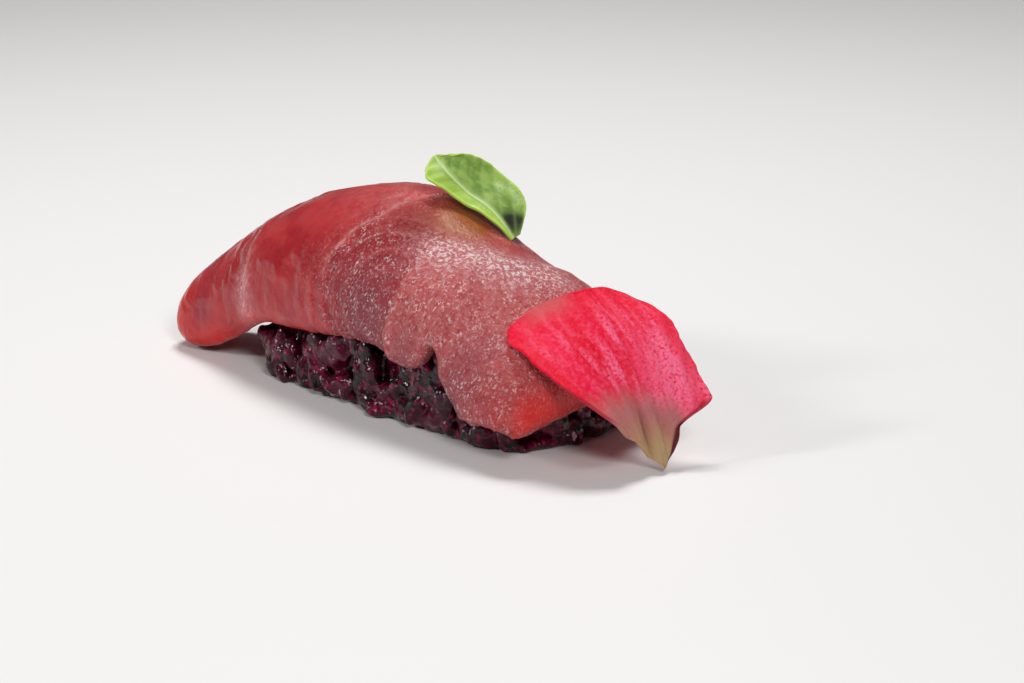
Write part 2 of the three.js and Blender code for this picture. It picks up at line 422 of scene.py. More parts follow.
    def paint_over(self, colour: object, **tints: Colour) -> object:
        """Lays tints over a colour, each where the value of the same name was painted.

        Args:
            colour: the colour or socket below.
            tints: the tint for each painted name, from the bottom up.

        Returns:
            The colour socket.
        """
        for name, tint in tints.items():
            colour = self.mix(self.painted(name), colour, tint)
        return colour

    def bump(self, height: Socket, depth_mm: float, below: Socket | None = None) -> Socket:
        """Adds fine relief.

        Args:
            height: the value socket that gives the relief, from 0 to 1.
            depth_mm: how deep the full range goes.
            below: the normal socket of a coarser relief, if any.

        Returns:
            The normal socket.
        """
        bump = self.tree.nodes.new("ShaderNodeBump")
        bump.inputs["Distance"].default_value = depth_mm * MM
        bump.inputs["Strength"].default_value = 1.0
        self.tree.links.new(height, bump.inputs["Height"])
        if below is not None:
            self.tree.links.new(below, bump.inputs["Normal"])
        return bump.outputs["Normal"]

    def set_shader(self, **values: object) -> None:
        """Sets or links the shader's sockets, whose names have underscores for spaces here."""
        for name, value in values.items():
            self.feed(self.shader.inputs[name.replace("_", " ")], value)


@dataclass(frozen=True)
class TunaFinish:
    """Wet raw tuna: translucent red flesh with pale sinew, and painted light: glints painted as short
    flecks, a painted silvery sheen, the leaf's painted shadow and a rim painted as lit through.
    """

    flesh: Colour = (0.44, 0.030, 0.034)
    deep: Colour = (0.35, 0.013, 0.019)
    dark: Colour = (0.26, 0.005, 0.008)
    pale: Colour = (0.53, 0.115, 0.115)
    haze: Colour = (0.22, 0.040, 0.062)
    # Painted light: the brighter red where light shines through thin edges of the flesh.
    rim: Colour = (0.60, 0.016, 0.012)
    # Painted shadow of the leaf, tinted olive by light through the leaf.
    olive: Colour = (0.31, 0.088, 0.008)
    sinew: Colour = (0.64, 0.27, 0.26)
    # Painted highlight: the near-white colour of the painted glints.
    glint: Colour = (1.0, 0.90, 0.90)
    # Painted sheen: a silvery reflection on the wet flesh.
    painted_sheen: Colour = (0.62, 0.27, 0.29)
    dash_frequency: Triple = (3.2, 3.2, 1.5)
    dash_turn_degrees: Triple = (0.0, -26.0, 0.0)
    dot_frequency: float = 2.9
    bold_frequency: float = 0.62
    ripple_mm: float = 0.25
    dash_mm: float = 0.45
    dot_mm: float = 0.18

    def make(self) -> bpy.types.Material:
        """Builds the material.

        Returns:
            The material.
        """
        board = NodeBoard("wet tuna")
        mottle = board.noise(0.22, detail=4.0, distortion=0.6)
        grainy = board.noise(1.3, detail=3.0)
        colour = board.mix(board.eased(mottle, 0.38, 0.66), self.deep, self.flesh)
        pale_share = board.times(board.painted("pale"), board.eased(grainy, 0.2, 0.6))
        colour = board.mix(pale_share, colour, self.pale)
        colour = board.paint_over(
            colour, haze=self.haze, dark=self.dark, sheen=self.painted_sheen, olive=self.olive, rim=self.rim
        )
        sinew_share = board.times(board.painted("sinew"), board.eased(grainy, 0.3, 0.62))
        colour = board.mix(sinew_share, colour, self.sinew)
        # Painted highlights: clustered short dashes and dots of glint colour, where glints were painted
        # on the skin.
        dash_place = board.stretched(self.dash_frequency, self.dash_turn_degrees)
        dashes = board.noise(1.0, dash_place, detail=2.0, roughness=0.6, distortion=0.5)
        dots = board.noise(self.dot_frequency, detail=2.0)
        patches = board.eased(board.noise(0.35, detail=2.0), 0.38, 0.62)
        clusters = board.eased(board.noise(1.0, detail=2.0), 0.34, 0.54)
        scattered = board.times(board.maths("MAXIMUM", patches, 0.5), clusters)
        sparkle = board.times(board.painted("fleck"), scattered)
        glint_flecks = board.maths("MAXIMUM", board.eased(dashes, 0.54, 0.66), board.eased(dots, 0.60, 0.70))
        colour = board.mix(board.times(glint_flecks, sparkle), colour, self.glint)
        # Bolder painted highlights where the painted sheen lies.
        bold = board.noise(self.bold_frequency, dash_place, detail=2.0, roughness=0.6)
        bold = board.times(board.eased(bold, 0.51, 0.59), board.painted("sparkle"))
        colour = board.mix(bold, colour, self.glint)
        ripples = board.noise(0.5, detail=2.0, distortion=0.2)
        normal = board.bump(ripples, self.ripple_mm)
        rough_dashes = board.times(dashes, board.painted("rough"))
        normal = board.bump(rough_dashes, self.dash_mm, normal)
        rough_dots = board.times(dots, board.painted("rough"))
        normal = board.bump(rough_dots, self.dot_mm, normal)
        board.set_shader(
            Base_Color=colour, Roughness=0.36, Subsurface_Weight=0.3,
            Subsurface_Radius=(2.4, 0.4, 0.35), Subsurface_Scale=1.0 * MM, Coat_Weight=0.4,
            Coat_Roughness=0.09, Specular_IOR_Level=0.1, Normal=normal, Coat_Normal=normal,
        )
        return board.material


@dataclass(frozen=True)
class RiceFinish:
    """Wet cooked dark purple rice, with painted highlights."""

    dark: Colour = (0.006, 0.001, 0.003)
    plum: Colour = (0.065, 0.001, 0.014)
    # Brighter magenta of the specks: the rice's own varied tone, made bright enough to stand in for
    # coloured highlights.
    bright: Colour = (0.28, 0.004, 0.052)
    # Painted highlight: the pinkish-white of the painted glints.
    glint: Colour = (0.62, 0.34, 0.45)
    glint_share: float = 0.75
    dent_mm: float = 0.35

    def make(self) -> bpy.types.Material:
        """Builds the material.

        Returns:
            The material.
        """
        board = NodeBoard("dark rice")
        patches = board.noise(0.28, detail=3.0)
        specks = board.noise(1.1, detail=3.0)
        colour = board.mix(board.eased(patches, 0.36, 0.64), self.dark, self.plum)
        # Brighter specks: the rice's own varied tone, partly a painted highlight.
        colour = board.mix(board.eased(specks, 0.52, 0.72), colour, self.bright)
        # Painted highlights: pinkish-white spots mixed into the colour.
        glint_spots = board.eased(board.noise(0.95, detail=2.5, roughness=0.6), 0.63, 0.70)
        colour = board.mix(board.times(glint_spots, self.glint_share), colour, self.glint)
        normal = board.bump(board.noise(0.8, detail=2.0), self.dent_mm)
        board.set_shader(
            Base_Color=colour, Roughness=0.3, Specular_IOR_Level=0.1, Coat_Weight=0.45,
            Coat_Roughness=0.04, Subsurface_Weight=0.08, Subsurface_Radius=(1.0, 0.3, 0.4),
            Subsurface_Scale=0.8 * MM, Normal=normal, Coat_Normal=normal,
        )
        return board.material


@dataclass(frozen=True)
class LeafFinish:
    """A fresh small leaf: mid green with a pale midrib and a bright rim."""

    green: Colour = (0.13, 0.25, 0.022)
    light: Colour = (0.26, 0.40, 0.07)
    shade: Colour = (0.006, 0.012, 0.001)
    midrib: Colour = (0.55, 0.72, 0.30)
    rim: Colour = (0.46, 0.68, 0.09)
    cell_share: float = 0.35
    cell_mm: float = 0.05

    def make(self) -> bpy.types.Material:
        """Builds the material.

        Returns:
            The material.
        """
        board = NodeBoard("fresh leaf")
        mottle = board.noise(0.45, detail=4.0, roughness=0.6)
        cells = board.noise(3.0, detail=2.0)
        colour = board.mix(board.eased(mottle, 0.40, 0.62), self.green, self.light)
        cell_share = board.times(board.eased(cells, 0.45, 0.7), self.cell_share)
        colour = board.mix(cell_share, colour, self.light)
        colour = board.paint_over(colour, shade=self.shade, vein=self.midrib, rim=self.rim)
        normal = board.bump(cells, self.cell_mm)
        board.set_shader(
            Base_Color=colour, Roughness=0.42, Specular_IOR_Level=0.3, Subsurface_Weight=0.15,
            Subsurface_Radius=(0.6, 1.0, 0.2), Subsurface_Scale=0.5 * MM, Sheen_Weight=0.15,
            Normal=normal,
        )
        return board.material


@dataclass(frozen=True)
class PetalFinish:
    """A soft petal: hot pink streaked with crimson, and greenish cream at its foot."""

    pink: Colour = (0.80, 0.010, 0.055)
    crimson: Colour = (0.74, 0.001, 0.022)
    streak: Colour = (0.95, 0.17, 0.31)
    dusty: Colour = (0.42, 0.16, 0.15)
    cream: Colour = (0.47, 0.31, 0.16)
    rim: Colour = (0.36, 0.015, 0.03)
    # Maroon of the torn, folded-back stretch, also used as painted shade in the crease near the foot.
    maroon: Colour = (0.10, 0.006, 0.012)
    streak_repeats: tuple[float, float] = (17.0, 4.5)
    thread_repeats: tuple[float, float] = (80.0, 16.0)
    cloud_repeats: tuple[float, float] = (7.0, 2.4)
    mottle_share: float = 0.26
    thread_share: float = 0.10
    streak_mm: float = 0.12
    dot_mm: float = 0.16

    def make(self) -> bpy.types.Material:
        """Builds the material.

        Returns:
            The material.
        """
        board = NodeBoard("petal face")
        streaks = board.noise(1.0, board.surface_map(self.streak_repeats), detail=1.5, roughness=0.45)
        threads = board.noise(1.0, board.surface_map(self.thread_repeats), detail=2.0)
        clouds = board.noise(1.0, board.surface_map(self.cloud_repeats), detail=3.0)
        dots = board.noise(2.6, detail=3.0, roughness=0.6)
        striped = board.times(board.eased(streaks, 0.46, 0.68), board.painted("stripe"))
        striped = board.times(striped, board.eased(dots, 0.32, 0.60))
        mottle = board.eased(board.noise(1.6, detail=3.0), 0.42, 0.72)
        mottle = board.times(mottle, self.mottle_share)
        fine = board.times(board.eased(threads, 0.5, 0.75), self.thread_share)
        blushing = board.times(board.painted("blush"), board.eased(dots, 0.28, 0.56))
        colour = board.mix(board.eased(clouds, 0.34, 0.66), self.pink, self.crimson)
        for share in (striped, mottle, fine, blushing):
            colour = board.mix(share, colour, self.streak)
        colour = board.paint_over(
            colour,
            crimson=self.crimson, dusty=self.dusty, cream=self.cream, rim=self.rim, maroon=self.maroon,
        )
        normal = board.bump(streaks, self.streak_mm)
        normal = board.bump(dots, self.dot_mm, normal)
        board.set_shader(
            Base_Color=colour, Roughness=0.5, Specular_IOR_Level=0.1, Subsurface_Weight=0.15,
            Subsurface_Radius=(1.5, 0.3, 0.4), Subsurface_Scale=0.5 * MM, Normal=normal,
        )
        return board.material


@dataclass(frozen=True)
class FloorFinish:
    """A plain pale floor."""

    tint: Colour = (0.80, 0.79, 0.78)

    def make(self) -> bpy.types.Material:
        """Builds the material.

        Returns:
            The material.
        """
        board = NodeBoard("pale floor")
        board.set_shader(Base_Color=self.tint, Roughness=0.6)
        return board.material


@dataclass(frozen=True)
class Skin:
    """Where the slice's skin lies among its landmarks, one value for each corner."""

    places: np.ndarray
    wobble: np.ndarray
    past_fold: np.ndarray
    past_arc: np.ndarray
    near: np.ndarray
    cut_end: np.ndarray
    olive: np.ndarray
    dark_top: np.ndarray
    shine: np.ndarray


@dataclass
class TunaSlice:
    """The slice of tuna. Its lines and spots are places on its skin, in millimetres."""

    node: str = "tuna_slice"
    voxel_mm: float = 0.36
    smooth_steps: int = 24
    clouds_mm: tuple[tuple[float, float], ...] = ((7.0, 0.6), (2.2, 0.2))
    ragged_clouds_mm: tuple[float, float] = (1.1, 0.9)
    fold: tuple[Triple, ...] = (
        (6.8, -5.6, 24.0), (6.4, -7.8, 22.9), (6.5, -9.9, 21.7), (6.0, -11.5, 20.1), (5.8, -13.0, 18.2),
        (5.4, -14.2, 15.7), (4.4, -14.7, 12.8), (4.6, -14.6, 9.6),
    )
    arc: tuple[Triple, ...] = (
        (-0.1, 1.2, 27.4), (-1.9, -3.1, 27.8), (-2.7, -7.1, 26.6), (-5.8, -10.9, 23.8),
        (-8.8, -13.2, 19.3), (-8.9, -14.0, 16.4), (-7.9, -14.4, 13.3), (-6.8, -14.4, 10.5),
    )
    tongue_line: tuple[Triple, ...] = (
        (-27.7, -7.9, 19.9), (-26.9, -10.1, 18.4), (-26.7, -11.7, 15.6), (-26.8, -12.5, 12.6),
        (-27.2, -12.7, 9.8),
    )
    sheen_line: tuple[Triple, ...] = ((7.2, -7.2, 22.9), (15.4, -4.3, 22.1), (18.9, 0.9, 20.5))
    arc_centre: Triple = (4.0, -14.0, 15.5)
    arc_spacing_mm: float = 2.6
    fold_mm: float = 0.6
    arc_mm: float = 0.11
    groove_mm: float = 0.2
    crease_mm: float = 0.22
    ragged: Spot = Spot(1.0, (22.0, -15.0, 3.6), (9.0, 4.0, 3.2))
    # Where the leaf's painted shadow falls on the slice.
    olive: Spot = Spot(1.5, (5.2, -1.3, 25.2), (4.6, 3.6, 2.2))
    dark_top: Spot = Spot(1.0, (2.6, -7.4, 25.1), (4.4, 4.2, 2.4))
    crest: Spot = Spot(0.5, (-7.0, -4.0, 27.0), (9.0, 7.0, 3.5))
    # A band of painted sheen and painted glints down the tongue.
    sheen_band: Spot = Spot(0.35, (-27.6, -12.2, 11.0), (1.8, 4.0, 5.0))
    sheen_band_glint: Spot = Spot(0.6, (-28.0, -12.0, 11.5), (1.4, 3.0, 4.5))
    main_haze: Spot = Spot(0.85, (0.0, -14.4, 13.5), (7.0, 6.0, 8.0))
    haze_spots: tuple[Spot, ...] = (
        Spot(0.6, (8.5, -15.0, 10.5), (3.0, 4.0, 4.0)),
        Spot(0.7, (17.4, -15.2, 6.8), (4.5, 4.0, 4.2)),
        Spot(0.4, (20.5, -13.0, 12.5), (4.0, 4.0, 4.0)),
        Spot(0.5, (-38.6, -11.6, 6.5), (3.0, 5.0, 4.6)),
    )
    lit_spots: tuple[Spot, ...] = (
        Spot(0.85, (-34.5, -10.5, 2.4), (6.5, 4.0, 2.4)),
        Spot(0.9, (-45.0, -11.0, 6.0), (3.6, 4.0, 6.5)),
    )
    bright_spots: tuple[Spot, ...] = (
        Spot(0.5, (10.0, -12.0, 18.0), (6.0, 5.0, 5.0)),
        Spot(0.5, (-1.0, -12.5, 18.5), (5.0, 5.0, 6.0)),
        Spot(0.5, (17.6, -15.0, 8.0), (4.0, 4.0, 3.0)),
    )

    def shape(self, piece: Piece) -> None:
        """Gives the skin its fold, its muscle arcs and its sinew lines.

        Args:
            piece: the slice, melted smooth.
        """
        places = places_of(piece)
        normals = corner_rows(piece, "normal")
        near = ease(0.15, -0.35, normals[:, 1]) * ease(0.0, -5.0, places[:, 1])
        past = past_line(places, self.fold)
        lift = ease(-0.35, 0.35, past) * np.exp(-np.clip(past, 0.0, None) / 6.0)
        lift *= near * ease(26.0, 23.0, places[:, 2])
        rings = np.linalg.norm(places - np.array(self.arc_centre), axis=1)
        arcs = np.cos(math.tau * rings / self.arc_spacing_mm) * near * bell(rings - 11.0, 8.0)
        height = self.fold_mm * lift + self.arc_mm * arcs
        height -= self.groove_mm * bell(distance_to_line(places, self.arc), 0.55)
        height += self.crease_mm * bell(distance_to_line(places, self.tongue_line), 0.9)
        move_corners(piece, places + normals * height[:, None])

    def edge_group(self, piece: Piece) -> str:
        """Marks the ragged near corner.

        Args:
            piece: the slice.

        Returns:
            The name of its vertex group.
        """
        weight = self.ragged.on(places_of(piece))
        group = piece.vertex_groups.new(name="ragged")
        for index in np.nonzero(weight > 0.02)[0]:
            group.add([int(index)], float(weight[index]), "REPLACE")
        return group.name

    def read_skin(self, piece: Piece) -> Skin:
        """Works out where each corner lies among the landmarks.

        Args:
            piece: the shaped slice.

        Returns:
            The values that the painting reads.
        """
        places = places_of(piece)
        x, y, z = places.T
        wobble = np.sin(0.9 * x + 0.7 * z) + np.sin(1.7 * z - 0.8 * y + 1.0)
        olive = np.clip(self.olive.on(places), 0.0, 1.0)
        return Skin(
            places=places,
            wobble=wobble,
            past_fold=past_line(places, self.fold) + 0.25 * wobble,
            past_arc=past_line(places, self.arc[1:]) + 0.5 * wobble,
            near=ease(1.0, -5.0, y + 0.4 * wobble),
            cut_end=ease(29.4, 31.2, x + 0.25 * z) * ease(12.0, 7.0, z),
            olive=olive,
            dark_top=self.dark_top.on(places),
            shine=bell(distance_to_line(places, self.sheen_line), 3.2) * (1.0 - olive),
        )

    def paint_tones(self, piece: Piece, skin: Skin) -> None:
        """Paints where the flesh is pale, dark or hazy, and the painted light: the leaf's olive shadow,
        a silvery sheen and a rim lit through.

        Args:
            piece: the slice.
            skin: its landmarks.
        """
        x, _, z = skin.places.T
        beyond = ease(-0.6, 0.7, skin.past_fold) * ease(25.5, 23.6, z) * skin.near
        drift = ease(-6.0, 20.0, x + 1.5 * skin.wobble)
        lit_end = ease(22.0, 28.5, x + 0.25 * z + 0.3 * skin.wobble) * ease(16.0, 8.0, z)
        pale = np.maximum(0.95 * beyond, 0.45 * drift) * (1.0 - skin.dark_top) * (1.0 - 0.65 * lit_end)
        paint(piece, "pale", np.maximum(pale, self.crest.on(skin.places)))
        paint(piece, "dark", 0.9 * skin.dark_top)
        # Painted shadow of the leaf.
        paint(piece, "olive", 0.85 * skin.olive)
        # Painted sheen and painted glints along the sheen line and the band.
        band = self.sheen_band.on(skin.places)
        paint(piece, "sheen", 0.42 * skin.shine + band)
        paint(piece, "sparkle", 0.62 * skin.shine + 0.4 * band)
        haze = self.main_haze.on(skin.places) * ease(0.3, -0.5, skin.past_fold)
        haze *= ease(-3.0, 1.5, skin.past_arc)
        paint(piece, "haze", haze + sum(spot.on(skin.places) for spot in self.haze_spots))
        # Painted light through the flesh: brighter red at the cut end, along the low near edge and at
        # the lit spots.
        low_edge = ease(1.6, -1.0, z - 9.0 - 0.02 * x) * ease(-3.0, -14.0, x)
        low_edge *= ease(-31.0, -26.5, x)
        rim = 0.9 * skin.cut_end + 0.5 * low_edge
        paint(piece, "rim", rim + sum(spot.on(skin.places) for spot in self.lit_spots))

    def paint_sinew(self, piece: Piece, skin: Skin) -> None:
        """Paints the pale lines of sinew, and plainer bands of it on the far side.

        Args:
            piece: the slice.
            skin: its landmarks.
        """
        x, y, z = skin.places.T
        sinew = bell(distance_to_line(skin.places, self.arc), 0.35) * ease(14.0, 22.0, z)
        sinew += 0.3 * bell(distance_to_line(skin.places, self.tongue_line), 0.9)
        sinew += 0.4 * bell(skin.past_fold - 0.3, 0.4) * skin.near * ease(24.5, 22.0, z)
        rings = np.linalg.norm(skin.places - np.array(self.arc_centre), axis=1) + 0.2 * skin.wobble
        lines = ease(0.75, 1.0, np.cos(math.tau * rings / self.arc_spacing_mm))
        sinew += 0.35 * lines * skin.near * bell(rings - 9.0, 6.0)
        bands = ease(0.86, 1.0, np.cos(0.62 * (x + 0.9 * z + 0.3 * y + 0.4 * skin.wobble)))
        sinew += 0.45 * bands * ease(-1.0, 6.0, y)
        paint(piece, "sinew", 0.8 * sinew)

    def paint_texture(self, piece: Piece, skin: Skin) -> None:
        """Paints where the skin is rough and where it glints.

        Args:
            piece: the slice.
            skin: its landmarks.
        """
        x = skin.places[:, 0]
        calm = (1.0 - 0.9 * skin.olive) * (1.0 - 0.7 * skin.cut_end)
        wet = 0.35 * ease(-9.0, 0.0, skin.past_arc) + 0.65 * ease(-1.5, 1.5, skin.past_arc)
        far_wet = 0.10 + 0.50 * ease(-26.0, 12.0, x + 2.0 * skin.wobble)
        wet = skin.near * wet + (1.0 - skin.near) * far_wet
        paint(piece, "rough", np.maximum(wet * calm, 0.3 * skin.olive))
        # Painted glints: brighter along the sheen line and at the bright spots, on the wet stretches.
        bright = 1.2 * skin.shine + sum(spot.on(skin.places) for spot in self.bright_spots)
        glint = (0.45 + 0.55 * np.clip(bright, 0.0, 1.0)) * wet + self.sheen_band_glint.on(skin.places)
        paint(piece, "fleck", glint * calm * (1.0 - 0.8 * skin.dark_top))

    def build(self) -> Piece:
        """Builds and dresses the slice.

        Returns:
            The finished piece.
        """
        piece = merged_copy(self.node, "tuna")
        finish_modifier(piece, "REMESH", mode="VOXEL", voxel_size=self.voxel_mm * MM)
        finish_modifier(piece, "SMOOTH", factor=0.5, iterations=self.smooth_steps)
        self.shape(piece)
        for size_mm, height_mm in self.clouds_mm:
            cloud_displace(piece, size_mm, height_mm)
        cloud_displace(piece, *self.ragged_clouds_mm, self.edge_group(piece))
        skin = self.read_skin(piece)
        self.paint_tones(piece, skin)
        self.paint_sinew(piece, skin)
        self.paint_texture(piece, skin)
        dress(piece, TunaFinish().make())
        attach(piece, "root")
        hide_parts(self.node)
        return piece


@dataclass
class RiceBlock:
    """The block of dark rice: pressed grains, fused where they touch."""

    node: str = "rice"
    grain_length_mm: float = 5.0
    grain_width_mm: float = 2.6
    grain_flatness: float = 0.85
    grain_bend: float = 0.12
    grain_count: int = 290
    most_tilt: float = 0.55
    grain_scales: tuple[float, float] = (0.8, 1.08)
    sunk_mm: float = 0.55
    clear_of_slice_mm: float = 1.3
    lowest_grain_mm: float = 1.0
    core_voxel_mm: float = 0.7
    core_smooth_steps: int = 14
    core_inset_mm: float = 1.9
    voxel_mm: float = 0.31
    clouds_mm: tuple[float, float] = (1.2, 0.3)
    seed: int = 5

    def one_grain(self) -> Piece:
        """Models one cooked grain, long in X and slightly bent.

        Returns:
            The grain, at the origin.
        """
        bpy.ops.object.select_all(action="DESELECT")
        bpy.ops.mesh.primitive_uv_sphere_add(segments=10, ring_count=8, radius=0.5)
        grain = bpy.context.active_object
        grain.name = "grain"
        bpy.ops.object.mode_set(mode="EDIT")
        bpy.ops.mesh.select_all(action="SELECT")
        bpy.ops.transform.rotate(value=math.pi / 2, orient_axis="Y", center_override=(0.0, 0.0, 0.0))
        length = self.grain_length_mm * MM
        width = self.grain_width_mm * MM
        size = (length, width, self.grain_flatness * width)
        bpy.ops.transform.resize(value=size, center_override=(0.0, 0.0, 0.0))
        bpy.ops.object.mode_set(mode="OBJECT")
        for corner in grain.data.vertices:
            share = corner.co.x / (0.5 * length)
            corner.co.z -= self.grain_bend * width * share * share
        return grain

    def spots(self, piece: Piece) -> list[tuple[Vector, Vector]]:
        """Draws places for grains on the open skin of the block.

        Args:
            piece: the block, melted smooth.

        Returns:
            Pairs of a place and its outward direction.
        """
        draw = random.Random(self.seed)
        slice_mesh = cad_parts["tuna_slice"].data
        corners = [corner.co.copy() for corner in slice_mesh.vertices]
        faces = [tuple(face.vertices) for face in slice_mesh.polygons]
        cover = BVHTree.FromPolygons(corners, faces)
        skin = [face for face in piece.data.polygons if face.center.z > self.lowest_grain_mm * MM]
        areas = [face.area for face in skin]
        found: list[tuple[Vector, Vector]] = []
        while len(found) < self.grain_count:
            face = draw.choices(skin, areas)[0]
            gap = cover.find_nearest(face.center)[3]
            if gap > self.clear_of_slice_mm * MM:
                found.append((face.center.copy(), face.normal.copy()))
        return found

    def build(self) -> Piece:
        """Builds and dresses the block.

        Returns:
            The finished piece.
        """
        piece = merged_copy(self.node, "rice_block")
        draw = random.Random(self.seed + 1)
        pattern = self.one_grain()
        finish_modifier(piece, "REMESH", mode="VOXEL", voxel_size=self.core_voxel_mm * MM)
        finish_modifier(piece, "SMOOTH", factor=0.5, iterations=self.core_smooth_steps)
        copies = []
        for place, outward in self.spots(piece):
            grain = bpy.data.objects.new("grain copy", pattern.data.copy())
            lying = outward.to_track_quat("Z", "X").to_matrix().to_4x4()
            spin = Matrix.Rotation(draw.uniform(0.0, math.tau), 4, "Z")
            tilt = Matrix.Rotation(draw.uniform(-self.most_tilt, self.most_tilt), 4, "Y")
            scale = Matrix.Scale(draw.uniform(*self.grain_scales), 4)
            centre = place - outward * self.sunk_mm * MM
            grain.data.transform(Matrix.Translation(centre) @ lying @ spin @ tilt @ scale)
            bpy.context.scene.collection.objects.link(grain)
            copies.append(grain)
        bpy.data.objects.remove(pattern)
        inset = self.core_inset_mm * ease(0.0, 2.0, places_of(piece)[:, 2])
        move_corners(piece, places_of(piece) - corner_rows(piece, "normal") * inset[:, None])
        select_only(piece)
        for grain in copies:
            grain.select_set(True)
        bpy.ops.object.join()
        finish_modifier(piece, "REMESH", mode="VOXEL", voxel_size=self.voxel_mm * MM)
        finish_modifier(piece, "SMOOTH", factor=0.5, iterations=1)
        cloud_displace(piece, *self.clouds_mm)
        self.flatten_base(piece)
        dress(piece, RiceFinish().make())
        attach(piece, "root")
        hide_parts(self.node)
        return piece

    def flatten_base(self, piece: Piece) -> None:
        """Presses everything below the table up to it.

        Args:
            piece: the block.
        """
        places = places_of(piece)
        places[:, 2] = np.maximum(places[:, 2], 0.0)
        move_corners(piece, places)


def curved_sheet(name: str, across: int, along: int) -> Piece:
    """Adds a flat grid with a UV map, from -1 to 1 across in X and along in Y.

    Args:
        name: the piece's name.
        across: how many squares from side to side.
        along: how many squares from foot to tip.

    Returns:
        The grid.
    """
    bpy.ops.object.select_all(action="DESELECT")
    bpy.ops.mesh.primitive_grid_add(x_subdivisions=across, y_subdivisions=along, size=2.0)
    sheet = bpy.context.active_object
    sheet.name = name
    sheet.data.name = name
    return sheet


def sheet_shares(sheet: Piece) -> tuple[np.ndarray, np.ndarray]:
    """Reads how far up and how far to the side each corner of a flat grid lies.

    Args:
        sheet: the grid, before its corners are moved.

    Returns:
        From 0 at the foot to 1 at the tip, closer together at both ends, and from -1 to 1 across.
    """
    corners = corner_rows(sheet, "co")
    ups = 0.5 + 0.5 * corners[:, 1]
    return 0.5 * ups + 0.25 * (1.0 - np.cos(math.pi * ups)), -corners[:, 0]


def thicken(sheet: Piece, thickness_mm: float, group: str = "") -> None:
    """Gives a sheet its thickness, half on each side, with rounded edges.

    Args:
        sheet: the curved sheet.
        thickness_mm: how thick it becomes.
        group: the vertex group that thins it, or nothing for one thickness throughout.
    """
    finish_modifier(sheet, "SOLIDIFY", thickness=thickness_mm * MM, offset=0.0, vertex_group=group)
    select_only(sheet)
    bpy.ops.object.mode_set(mode="EDIT")
    bpy.ops.mesh.select_all(action="SELECT")
    bpy.ops.mesh.normals_make_consistent(inside=False)
    bpy.ops.object.mode_set(mode="OBJECT")
    finish_modifier(sheet, "SUBSURF", levels=1, render_levels=1)


